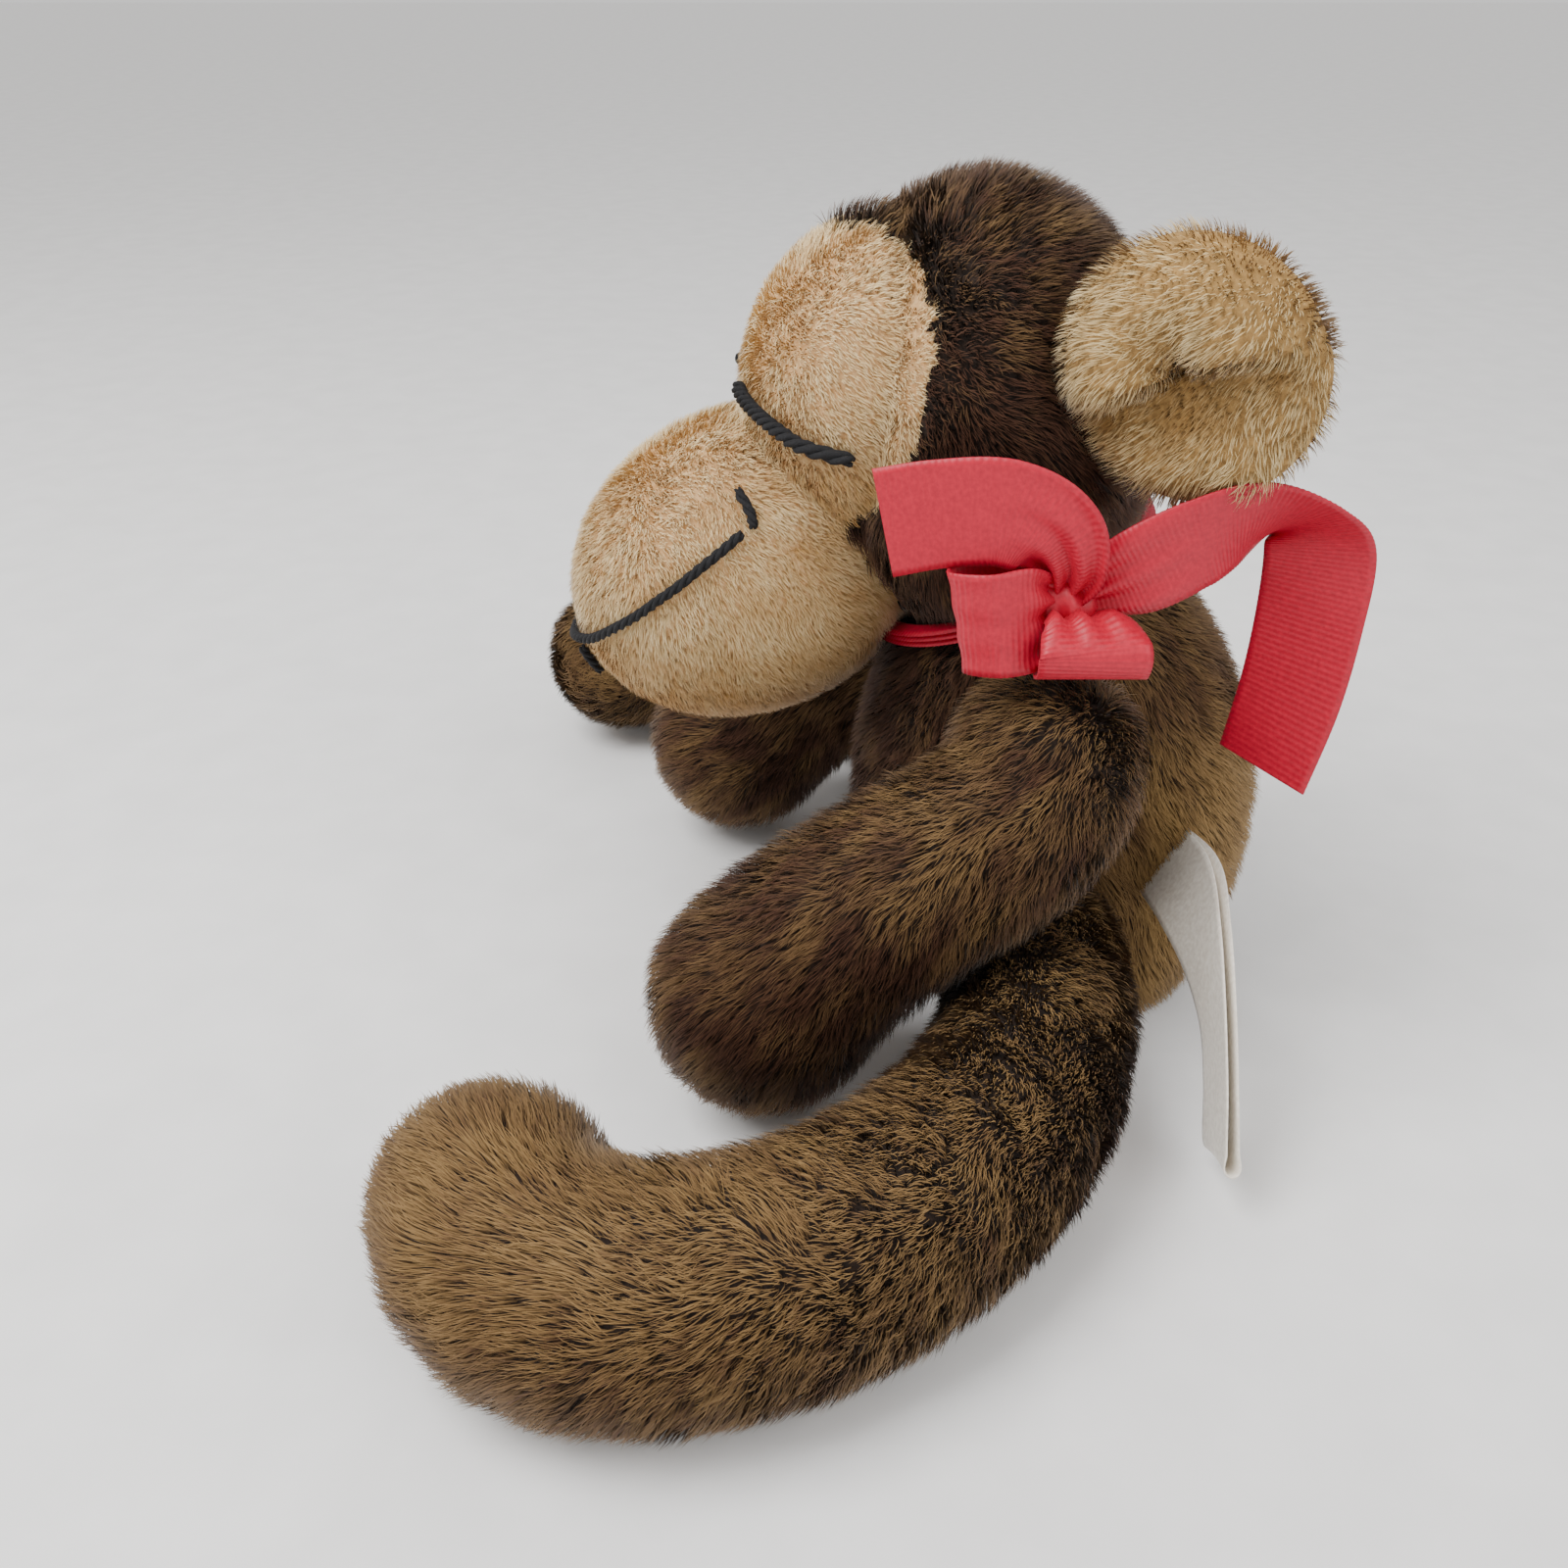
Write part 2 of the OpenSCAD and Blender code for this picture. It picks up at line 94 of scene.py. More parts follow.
def through(stations, count):
    """count rows along a smooth curve through the stations."""
    stations = np.asarray(stations, float)
    padded = np.vstack([2 * stations[0] - stations[1], stations, 2 * stations[-1] - stations[-2]])
    places = np.linspace(0, len(stations) - 1, count)
    spans = np.minimum(places.astype(int), len(stations) - 2)
    t = (places - spans)[:, None]
    a, b, c, d = (padded[spans + i] for i in range(4))
    return 0.5 * (2 * b + (c - a) * t + (2 * a - 5 * b + 4 * c - d) * t**2 + (3 * b - a - 3 * c + d) * t**3)


def new_mesh(name, points, faces, smooth=True):
    """A mesh object from points and faces."""
    mesh = bpy.data.meshes.new(name)
    mesh.from_pydata([tuple(p) for p in points], [], faces)
    mesh.polygons.foreach_set("use_smooth", np.full(len(mesh.polygons), smooth))
    mesh.update()
    piece = bpy.data.objects.new(name, mesh)
    bpy.context.scene.collection.objects.link(piece)
    return piece


def coordinates(mesh):
    flat = np.empty(len(mesh.vertices) * 3)
    mesh.vertices.foreach_get("co", flat)
    return flat.reshape(-1, 3)


def set_coordinates(mesh, points):
    mesh.vertices.foreach_set("co", np.asarray(points, np.float32).ravel())
    mesh.update()


def vertex_normals(mesh):
    flat = np.empty(len(mesh.vertices) * 3)
    mesh.vertex_normals.foreach_get("vector", flat)
    return flat.reshape(-1, 3)


def applied(piece):
    """Turns the piece's modifiers into its mesh."""
    graph = bpy.context.evaluated_depsgraph_get()
    mesh = bpy.data.meshes.new_from_object(piece.evaluated_get(graph))
    piece.modifiers.clear()
    piece.data = mesh
    mesh.polygons.foreach_set("use_smooth", np.ones(len(mesh.polygons), bool))
    return piece


# Materials

def colour(code):
    """A hex colour as linear RGBA."""
    channels = [int(code[i:i + 2], 16) / 255 for i in (1, 3, 5)]
    return [c / 12.92 if c < 0.04045 else ((c + 0.055) / 1.055) ** 2.4 for c in channels] + [1]


class Surface:
    """A procedural material with a Principled shader."""

    def __init__(self, name, roughness, **constants):
        self.material = bpy.data.materials.new(name)
        self.material.use_nodes = True
        self.nodes = self.material.node_tree.nodes
        self.links = self.material.node_tree.links
        self.shader = self.nodes["Principled BSDF"]
        self.shader.inputs["Roughness"].default_value = roughness
        for socket, value in constants.items():
            self.shader.inputs[socket.replace("_", " ")].default_value = value

    def node(self, kind, **settings):
        made = self.nodes.new(kind)
        for name, value in settings.items():
            if name in made.inputs:
                made.inputs[name].default_value = value
            else:
                setattr(made, name, value)
        return made

    def link(self, output, target):
        self.links.new(output, target)

    def ramp(self, factor, stops):
        """A colour ramp over (place, hex colour) stops."""
        made = self.nodes.new("ShaderNodeValToRGB")
        elements = made.color_ramp.elements
        while len(elements) < len(stops):
            elements.new(0.5)
        for element, (place, code) in zip(elements, stops):
            element.position = place
            element.color = colour(code)
        self.link(factor, made.inputs["Fac"])
        return made.outputs["Color"]

    def noise(self, scale, detail=4):
        """Noise in the piece's own space, with scale bumps per metre."""
        place = self.node("ShaderNodeTexCoord")
        made = self.node("ShaderNodeTexNoise", Scale=scale, Detail=detail)
        self.link(place.outputs["Object"], made.inputs["Vector"])
        return made.outputs["Fac"]

    def bump(self, height, distance, strength=0.5):
        made = self.node("ShaderNodeBump", Strength=strength, Distance=distance)
        self.link(height, made.inputs["Height"])
        self.link(made.outputs["Normal"], self.shader.inputs["Normal"])

    def paint(self, output):
        self.link(output, self.shader.inputs["Base Color"])
        return self


def mottled(name, roughness, stops, scale, relief, **constants):
    """A material coloured by noise, with the same noise as its relief."""
    made = Surface(name, roughness, **constants)
    noise = made.noise(scale)
    made.paint(made.ramp(noise, stops))
    made.bump(noise, relief)
    return made.material


def pile_material(name, dark, light, sheen):
    """Hair coloured from root to tip along U, and from a dark to a light hair along V."""
    made = Surface(name, 0.75, Sheen_Weight=sheen, Sheen_Roughness=0.4, Specular_IOR_Level=0.25)
    place = made.node("ShaderNodeUVMap", uv_map=HAIR_UV)
    split = made.node("ShaderNodeSeparateXYZ")
    made.link(place.outputs["UV"], split.inputs["Vector"])
    mix = made.node("ShaderNodeMix", data_type="RGBA")
    # Its sockets are found by type, because those for numbers and colours share names
    factor = next(s for s in mix.inputs if s.type == "VALUE" and s.name == "Factor")
    colours = [s for s in mix.inputs if s.type == "RGBA"]
    made.link(split.outputs["Y"], factor)
    for stops, socket in zip((dark, light), colours):
        made.link(made.ramp(split.outputs["X"], stops), socket)
    mixed = next(s for s in mix.outputs if s.type == "RGBA")
    return made.paint(mixed).material


BROWN_PILE = pile_material(
    "brown_pile",
    [(0.0, "#1d1009"), (0.5, "#3a2215"), (1.0, "#593826")],
    [(0.0, "#4d3821"), (0.4, "#7e6139"), (1.0, "#a08152")], 0.1)
FACE_PILE = pile_material(
    "face_pile",
    [(0.0, "#9c6c35"), (0.5, "#c08f4f"), (1.0, "#d3a96b")],
    [(0.0, "#dab67c"), (0.5, "#eccf99"), (1.0, "#f6e2b8")], 0.15)
EAR_PILE = pile_material(
    "ear_pile",
    [(0.0, "#5e3f1e"), (0.5, "#8d6737"), (1.0, "#ac854c")],
    [(0.0, "#c39e64"), (0.5, "#dfc28c"), (1.0, "#f0dbac")], 0.15)

BROWN_BACKING = mottled("brown_backing", 0.95, [(0.3, "#140c07"), (0.7, "#2e1e13")], 900, 0.0003)
FACE_BACKING = mottled("face_backing", 0.95, [(0.3, "#b98c58"), (0.7, "#d8b383")], 900, 0.0003)
EAR_BACKING = mottled("ear_backing", 0.95, [(0.3, "#86663a"), (0.7, "#b08c55")], 900, 0.0003)
YARN = mottled("black_yarn", 0.9, [(0.3, "#050506"), (0.7, "#17161a")], 2500, 0.0002)
RIBBON = mottled("red_ribbon", 0.45, [(0.25, "#a00524"), (0.75, "#be0f30")], 1500, 0.00004,
                 Sheen_Weight=0.03, Specular_IOR_Level=0.4)
SATIN = mottled("label_satin", 0.45, [(0.3, "#d9d0c2"), (0.7, "#f1ebdf")], 1200, 0.00005,
                Sheen_Weight=0.2)
FILLING = mottled("filling", 0.95, [(0.3, "#d8d4ca"), (0.7, "#f4f1ea")], 700, 0.0005)
BOARD = mottled("hardboard", 0.8, [(0.3, "#5c3f22"), (0.7, "#8a6238")], 600, 0.0001)
STEEL = mottled("zinc_steel", 0.38, [(0.3, "#8c9096"), (0.7, "#b9bcc1")], 1800, 0.00002, Metallic=1.0)

CAD_MATERIALS = {"board": BOARD, "steel": STEEL, "filling": FILLING}


def finish_cad_nodes():
    """The hidden hardware keeps its CAD shape and gets its material."""
    for part in frame["record"]["subparts"]:
        material = CAD_MATERIALS.get(part["material_slot"])
        if material:
            mesh = frame["nodes"][part["node"]].data
            mesh.materials.clear()
            mesh.materials.append(material)


# Stuffed shapes

VOXEL = 1.8 * MM
SMOOTHING_STEPS = 6
# The simulation runs at this many times the real size, because Cloth is tuned for furniture
SIM_SCALE = 6
SIM_FRAMES = 16
SIM_PRESSURE = 4
SWELL_CAP = 0.9 * MM


def stuffed(name, node):
    """The outer form of a CAD filling as an even mesh."""
    piece = bpy.data.objects.new(name, frame["nodes"][node].data.copy())
    bpy.context.scene.collection.objects.link(piece)
    weld = piece.modifiers.new("weld", "WELD")
    weld.merge_threshold = 1e-6
    remesh = piece.modifiers.new("remesh", "REMESH")
    remesh.mode = "VOXEL"
    remesh.voxel_size = VOXEL
    smooth = piece.modifiers.new("smooth", "SMOOTH")
    smooth.iterations = SMOOTHING_STEPS
    return applied(piece)


def swell(piece, pinned):
    """The cover swells under its filling's pressure, held where pinned is 1, as at its seams."""
    rest = coordinates(piece.data)
    set_coordinates(piece.data, rest * SIM_SCALE)
    group = piece.vertex_groups.new(name="pin")
    for i in np.flatnonzero(pinned > 0.01):
        group.add([int(i)], float(pinned[i]), "REPLACE")
    cloth = piece.modifiers.new("cloth", "CLOTH")
    cloth.settings.quality = 4
    cloth.settings.use_pressure = True
    cloth.settings.uniform_pressure_force = SIM_PRESSURE
    cloth.settings.vertex_group_mass = "pin"
    cloth.settings.effector_weights.gravity = 0
    cloth.collision_settings.use_collision = False
    scene = bpy.context.scene
    for step in range(1, SIM_FRAMES + 1):
        scene.frame_set(step)
    graph = bpy.context.evaluated_depsgraph_get()
    swollen = coordinates(piece.evaluated_get(graph).data) / SIM_SCALE
    piece.modifiers.clear()
    scene.frame_set(1)
    move = swollen - rest
    length = np.linalg.norm(move, axis=1, keepdims=True)
    set_coordinates(piece.data, rest + move * np.minimum(1, SWELL_CAP / np.maximum(length, 1e-9)))
    piece.vertex_groups.clear()


def covered(piece, body, material, nodes):
    """Finishes a stuffed piece: its material, its body and the CAD nodes it stands for."""
    piece.data.materials.clear()
    piece.data.materials.append(material)
    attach(piece, body)
    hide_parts(*nodes)
    return piece


def triangles(mesh):
    """Corners and corner normals of the mesh's triangles."""
    mesh.calc_loop_triangles()
    flat = np.empty(len(mesh.loop_triangles) * 3, np.int32)
    mesh.loop_triangles.foreach_get("vertices", flat)
    corners = flat.reshape(-1, 3)
    return coordinates(mesh)[corners], vertex_normals(mesh)[corners]


# Pile

MOST_HAIRS = 39000
HAIR_JOINTS = 3
FLOOR_GAP = 0.25 * MM
HAIR_TURN = 0.9
# A hair that would meet a neighbour is shortened to this share and leans this far over
FLAT_SHARE = 0.7
FLAT_LEAN = (1.1, 1.5)


def scattered(surface, density, random):
    """Random points on the triangles, density to the square metre, and the normal at each."""
    corners, normals = surface
    area = np.linalg.norm(np.cross(corners[:, 1] - corners[:, 0], corners[:, 2] - corners[:, 0]), axis=1) / 2
    count = int(area.sum() * density)
    chosen = random.choice(len(area), count, p=area / area.sum())
    a, b = np.sqrt(random.random(count)), random.random(count)
    weights = np.stack([1 - a, a * (1 - b), a * b], 1)
    points = np.einsum("ij,ijk->ik", weights, corners[chosen])
    return points, unit(np.einsum("ij,ijk->ik", weights, normals[chosen]))


def grown(roots, normals, comb, lengths, lean_root, lean_tip):
    """Points along each hair, from its root: it leans over towards comb as it grows."""
    points = [roots]
    headings = []
    for joint in range(HAIR_JOINTS):
        lean = lean_root + (lean_tip - lean_root) * joint / (HAIR_JOINTS - 1)
        heading = unit(np.cos(lean)[:, None] * normals + np.sin(lean)[:, None] * comb)
        points.append(points[-1] + heading * (lengths / HAIR_JOINTS)[:, None])
        headings.append(heading)
    return np.stack(points, 1), np.stack([headings[0]] + headings, 1)


def inside(points, trees):
    """Which points lie inside one of the closed shapes, each given as (tree, low, high)."""
    found = np.zeros(len(points), bool)
    for tree, low, high in trees:
        near = np.flatnonzero(((points > low) & (points < high)).all(1) & ~found)
        for i in near:
            place, normal, _, _ = tree.find_nearest(Vector(points[i]))
            found[i] = (Vector(points[i]) - place).dot(normal) < 0
    return found


def solid_tree(piece):
    """A shape to keep hairs out of, with its box."""
    points = coordinates(piece.data)
    faces = [tuple(f.vertices) for f in piece.data.polygons]
    tree = BVHTree.FromPolygons([Vector(p) for p in points], faces)
    return tree, points.min(0), points.max(0)


def hair_mesh(name, points, headings, normals, widths, tones, random):
    """Flat tapering hairs, each three joints long, that shade as the surface below them does."""
    count = len(points)
    sides = unit(np.cross(headings[:, 0], normals + 0.01 * headings[:, 1]))
    turn = random.uniform(-HAIR_TURN, HAIR_TURN, count)[:, None]
    sides = unit(np.cos(turn) * sides + np.sin(turn) * np.cross(headings[:, 0], sides))
    shares = np.array([1, 0.85, 0.55])
    half = (widths[:, None] * shares)[:, :, None] / 2 * sides[:, None, :]
    rings = np.stack([points[:, :3] - half, points[:, :3] + half], 2).reshape(count, 6, 3)
    spots = np.concatenate([rings, points[:, 3:4]], 1)
    spots[:, :, 2] = np.maximum(spots[:, :, 2], FLOOR_GAP)
    quads = np.array([0, 1, 3, 2, 2, 3, 5, 4, 4, 5, 6])
    base = np.arange(count)[:, None] * 7
    loops = (base + quads).astype(np.int32).ravel()
    mesh = bpy.data.meshes.new(name)
    mesh.vertices.add(count * 7)
    mesh.loops.add(len(loops))
    mesh.polygons.add(count * 3)
    mesh.vertices.foreach_set("co", spots.astype(np.float32).ravel())
    mesh.loops.foreach_set("vertex_index", loops)
    starts = (np.arange(count)[:, None] * 11 + np.array([0, 4, 8])).astype(np.int32).ravel()
    mesh.polygons.foreach_set("loop_start", starts)
    mesh.update(calc_edges=True)
    mesh.polygons.foreach_set("use_smooth", np.ones(count * 3, bool))
    along = np.array([0.02, 0.02, 0.34, 0.34, 0.67, 0.67, 0.98])
    across = np.array([-1, 1, -1, 1, -1, 1, 0]) * 0.003
    u = np.broadcast_to(along, (count, 7))
    v = np.clip(tones, 0.01, 0.99)[:, None] + across
    places = np.stack([u, v], 2)[:, quads].reshape(-1)
    layer = mesh.uv_layers.new(name=HAIR_UV)
    layer.data.foreach_set("uv", places.astype(np.float32))
    shading = unit(normals[:, None, :] + 0.35 * headings[:, [0, 0, 1, 1, 2, 2, 3]])
    mesh.normals_split_custom_set_from_vertices(shading.reshape(-1, 3).tolist())
    piece = bpy.data.objects.new(name, mesh)
    bpy.context.scene.collection.objects.link(piece)
    return piece


def grow_pile(name, body, material, surface, seed, comb, tone, density, length, width,
              lean=(0.45, 1.1), keep_out=(), bare=None):
    """Grows a pile on a surface. comb and tone give, for (points, normals), the way that the
    pile lies and how light each hair is. Hairs that meet a neighbour lie flat or are left out."""
    random = np.random.default_rng(seed)
    roots, normals = scattered(surface, density, random)
    if bare is not None:
        kept = ~bare(roots)
        roots, normals = roots[kept], normals[kept]
    count = len(roots)
    tuft = wave_vectors(roots, 4 * MM, seed + 10) * 0.11 + wave_vectors(roots, 15 * MM, seed + 20) * 0.2
    way = unit(comb(roots, normals)) + tuft + random.normal(0, 0.16, (count, 3))
    way = unit(way - (way * normals).sum(1, keepdims=True) * normals)
    lengths = length * random.uniform(0.75, 1.1, count)
    ruffle = 0.1 * wave_noise(roots, 7 * MM, seed + 30) + random.normal(0, 0.1, count)
    lean_root = np.clip(lean[0] + ruffle * 0.5, 0.05, 1.2)
    lean_tip = np.clip(lean[1] + ruffle, 0.2, 1.45)
    points, headings = grown(roots, normals, way, lengths, lean_root, lean_tip)
    hit = inside(points[:, -1], keep_out) | inside(points[:, 2], keep_out)
    flat_points, flat_headings = grown(
        roots[hit], normals[hit], way[hit], lengths[hit] * FLAT_SHARE,
        np.full(hit.sum(), FLAT_LEAN[0]), np.full(hit.sum(), FLAT_LEAN[1]))
    points[hit], headings[hit] = flat_points, flat_headings
    kept = ~hit
    kept[np.flatnonzero(hit)] = ~inside(flat_points[:, -1], keep_out)
    points, headings, normals, roots = points[kept], headings[kept], normals[kept], roots[kept]
    widths = width * random.uniform(0.7, 1.2, len(roots))
    tones = tone(roots, normals) + random.normal(0, 0.08, len(roots))
    parts = math.ceil(len(roots) / MOST_HAIRS)
    order = random.permutation(len(roots))
    for part in range(parts):
        rows = order[part::parts]
        label = name if parts == 1 else f"{name}_{part + 1}"
        piece = hair_mesh(label, points[rows], headings[rows], normals[rows], widths[rows],
                          tones[rows], random)
        piece.data.materials.append(material)
        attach(piece, body)


def streaks(points, comb, scale, seed, stretch=0.7):
    """Noise drawn out along the way the pile lies."""
    comb = unit(comb)
    along = (points * comb).sum(1, keepdims=True) * comb
    return wave_noise(points - stretch * along, scale, seed)


# Stuffed pieces

PILE_DENSITY = 4.4e6
FACE_DENSITY = 6.5e6
EAR_DENSITY = 3.6e6
BODY_HAIR = 4.7 * MM
FACE_HAIR = 2.2 * MM
EAR_HAIR = 2.5 * MM
HAIR_WIDTH = 0.23 * MM
FACE_HAIR_WIDTH = 0.19 * MM

FACE_SKINS = ("brow_skin", "muzzle_skin", "chin_skin")
LEG_LENGTHS = ("upper", "middle", "foot")

SEAM_DEPTH = 0.9 * MM
SEAM_HALF_WIDTH = 1.6 * MM
BACK_SEAM_HALF_WIDTH = 2.2 * MM

# The brow is heart-shaped: two round lobes, placed from the middle of the CAD brow
BROW_LOBE = np.array([15, -1.5, 1.5]) * MM
BROW_LOBE_RADIUS = 23.5 * MM
# Painted shade in the cheek's valley below the eye, placed from the muzzle's middle
CHEEK_SHADE = np.array([0, 24, 2]) * MM
CHEEK_SHADE_RADIUS = 13 * MM


def node_tree(name):
    mesh = frame["nodes"][name].data
    return BVHTree.FromPolygons([v.co for v in mesh.vertices], [tuple(f.vertices) for f in mesh.polygons])


def distances(points, tree):
    return np.array([tree.find_nearest(Vector(p))[3] for p in points])


def joint_place(name):
    joint = next(j for j in frame["joints"] if j["name"] == name)
    return np.array(joint["pos_m"])


def make_torso():
    piece = stuffed("torso_plush", "torso_stuffing")
    points = coordinates(piece.data)
    seam = np.exp(-(points[:, 0] / BACK_SEAM_HALF_WIDTH) ** 2)
    set_coordinates(piece.data, points - vertex_normals(piece.data) * (SEAM_DEPTH * seam)[:, None])
    low, high = points.min(0), points.max(0)
    at_joint = smoothstep(np.abs(points[:, 0]), high[0] - 1.5 * MM, high[0] - 0.5 * MM)
    on_floor = smoothstep(-points[:, 2], -low[2] - 2 * MM, -low[2] - 0.5 * MM)
    swell(piece, np.maximum.reduce([seam, at_joint, on_floor]))
    return covered(piece, "torso", BROWN_BACKING,
                   ["torso_left_panel", "torso_right_panel", "torso_stuffing"])


def make_limb(side, limb):
    body = f"{side}_{limb}"
    piece = stuffed(f"{body}_plush", f"{body}_stuffing")
    points = coordinates(piece.data)
    inner = np.abs(points[:, 0]).min()
    at_joint = smoothstep(-np.abs(points[:, 0]), -inner - 2 * MM, -inner - 0.5 * MM)
    on_floor = smoothstep(-points[:, 2], -3 * MM, -1.5 * MM)
    swell(piece, np.maximum(at_joint, on_floor))
    skins = [f"{body}_skin"] if limb == "arm" else [f"{body}_{part}_skin" for part in LEG_LENGTHS]
    return covered(piece, body, BROWN_BACKING, skins + [f"{body}_stuffing"])


def make_head():
    """The head is one stuffed form, split along its seams into the hood and the face."""
    whole = stuffed("head_whole", "head_stuffing")
    points = coordinates(whole.data)
    reach = {name: distances(points, node_tree(name)) for name in ("hood_skin",) + FACE_SKINS}
    face_reach = np.minimum.reduce([reach[name] for name in FACE_SKINS])
    edges = [np.exp(-((reach["hood_skin"] - face_reach) / SEAM_HALF_WIDTH) ** 2),
             np.exp(-((reach["brow_skin"] - np.minimum(reach["muzzle_skin"], reach["chin_skin"]))
                      / SEAM_HALF_WIDTH) ** 2)]
    seam = np.maximum(*edges)
    set_coordinates(whole.data, points - vertex_normals(whole.data) * (SEAM_DEPTH * seam)[:, None])
    swell(whole, seam)
    brow = mid("brow_skin")
    lobes = [brow + np.array([side * BROW_LOBE[0], *BROW_LOBE[1:]]) for side in (-1, 1)]
    in_lobe = np.minimum(*[np.linalg.norm(points - lobe, axis=1) for lobe in lobes]) < BROW_LOBE_RADIUS
    on_brow = np.minimum(reach["hood_skin"], reach["brow_skin"]) < np.minimum(
        reach["muzzle_skin"], reach["chin_skin"])
    is_face = np.where(on_brow, in_lobe, face_reach < reach["hood_skin"])
    pieces = []
    points = coordinates(whole.data)
    for name, wanted in (("hood_plush", False), ("face_plush", True)):
        faces = [tuple(f.vertices) for f in whole.data.polygons
                 if (np.mean([is_face[v] for v in f.vertices]) > 0.5) == wanted]
        used = sorted({v for f in faces for v in f})
        place = {v: i for i, v in enumerate(used)}
        pieces.append(new_mesh(name, points[used], [tuple(place[v] for v in f) for f in faces]))
    surfaces = [triangles(piece.data) for piece in pieces]
    tree = solid_tree(whole)
    bpy.data.objects.remove(whole)
    for piece in pieces:
        panel = piece.modifiers.new("panel", "SOLIDIFY")
        panel.thickness = 0.8 * MM
        panel.offset = -1
        applied(piece)
    hood, face = pieces
    covered(hood, "head", BROWN_BACKING, ["hood_skin", "head_stuffing"])
    covered(face, "head", FACE_BACKING, FACE_SKINS)
    return surfaces, tree


# The ear's outline from the middle of its front, over the rim, to the middle of its back, as
# (distance from the middle, height) in mm: a flat pad below, and a thick folded roll above
EAR_PAD = np.array([(0, 0.5), (4, 0.9), (7.5, 1.3), (10.5, 1.6), (13, 1.6), (15, 1.2), (17, 0.2),
                    (18.3, -1.6), (15, -3.6), (8, -4.3), (0, -4.6)])
EAR_ROLL = np.array([(0, -0.4), (1.8, -1.2), (3.8, -1.2), (2.4, 2.4), (3.8, 6.0), (8, 8.2), (13, 7.2),
                     (18.3, 1.2), (15.5, -3.2), (8, -4.3), (0, -4.6)])
EAR_RADIUS = 18.3
# The way across the fold, as an angle up from the back of the head
EAR_FOLD = math.radians(112)


def make_ear(side):
    """An ear whose upper rim is folded down over its front in a thick roll."""
    turns, steps = 72, 40
    sign = 1 if side == "left" else -1
    nodes = [f"{side}_ear_front", f"{side}_ear_back"]
    front_low, front_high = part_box(nodes[0])
    back_low, back_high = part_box(nodes[1])
    low = np.minimum(np.array(front_low), np.array(back_low))
    high = np.maximum(np.array(front_high), np.array(back_high))
    outer = high[0] if sign > 0 else low[0]
    radius = (high[2] - low[2]) / 2
    facing = unit(np.array([sign * 0.84, -0.545, 0]))
    back = unit(np.cross(facing, [0, 0, 1])) * -sign
    back = back if back[1] > 0 else -back
    centre = np.array([outer - sign * radius * 0.62, high[1] - radius * 0.86, (low[2] + high[2]) / 2])
    scale = radius / EAR_RADIUS
    points, faces = [], []
    for turn in range(turns):
        angle = 2 * math.pi * turn / turns
        fold = float(smoothstep(math.cos(angle - EAR_FOLD), -0.14, 0.1))
        for out, height in through(EAR_PAD + fold * (EAR_ROLL - EAR_PAD), steps):
            across = out * scale * (math.cos(angle) * back + math.sin(angle) * np.array([0, 0, 1]))
            points.append(centre + across + facing * height * scale)
    for turn in range(turns):
        here, there = turn * steps, (turn + 1) % turns * steps
        for step in range(steps - 1):
            quad = (here + step, here + step + 1, there + step + 1, there + step)
            faces.append(quad if sign > 0 else quad[::-1])
    piece = new_mesh(f"{side}_ear_plush", points, faces)
    weld = piece.modifiers.new("weld", "WELD")
    weld.merge_threshold = 1e-6
    smooth = piece.modifiers.new("smooth", "SMOOTH")
    smooth.iterations = 3
    applied(piece)
    surface = triangles(piece.data)
    covered(piece, "head", EAR_BACKING, nodes)
    across_fold = math.cos(EAR_FOLD) * back + math.sin(EAR_FOLD) * np.array([0, 0, 1])
    return surface, centre, facing, across_fold


def head_pile(surfaces, keep_out, stitched):
    hood, face = surfaces
    hood_middle = mid("hood_skin")
    nose = mid("muzzle_skin")

    def hood_comb(points, normals):
        return np.array([0, 0.75, -0.65]) + 0.3 * unit(points - hood_middle)

    def hood_tone(points, normals):
        # Painted light: hair on the upward-facing top of the hood is lighter.
        top = smoothstep(normals[:, 2], 0.2, 0.9)
        blotch = 0.1 * wave_noise(points, 12 * MM, 41) + 0.1 * wave_noise(points, 4 * MM, 42)
        # Painted shade: hair on the hood's sides, facing left and right, is darker.
        side = smoothstep(np.abs(normals[:, 0]), 0.3, 0.9)
        return 0.08 + 0.15 * top - 0.12 * side + blotch

    def face_comb(points, normals):
        return np.array([0, 0.45, -0.75]) + 0.5 * unit(points - nose)

    def face_tone(points, normals):
        # Painted shade: hair on the face's downward-facing undersides, under the muzzle and chin, is darker.
        under = smoothstep(-normals[:, 2], 0.0, 0.8)
        # Painted shade: hair in the cheek's valley is darker.
        from_cheek = np.linalg.norm((points - nose) * [0, 1, 1] - CHEEK_SHADE, axis=1)
        cheek_shade = np.exp(-(from_cheek / CHEEK_SHADE_RADIUS) ** 2)
        blotch = 0.12 * wave_noise(points, 11 * MM, 43) + 0.07 * wave_noise(points, 3.5 * MM, 44)
        return 0.8 - 0.75 * under - 0.25 * cheek_shade + blotch

    grow_pile("hood_pile", "head", BROWN_PILE, hood, 1, hood_comb, hood_tone,
              PILE_DENSITY, BODY_HAIR * 0.9, HAIR_WIDTH, lean=(0.3, 0.9), keep_out=keep_out)
    grow_pile("face_pile", "head", FACE_PILE, face, 2, face_comb, face_tone,
              FACE_DENSITY, FACE_HAIR, FACE_HAIR_WIDTH, lean=(0.5, 1.15), keep_out=keep_out, bare=stitched)


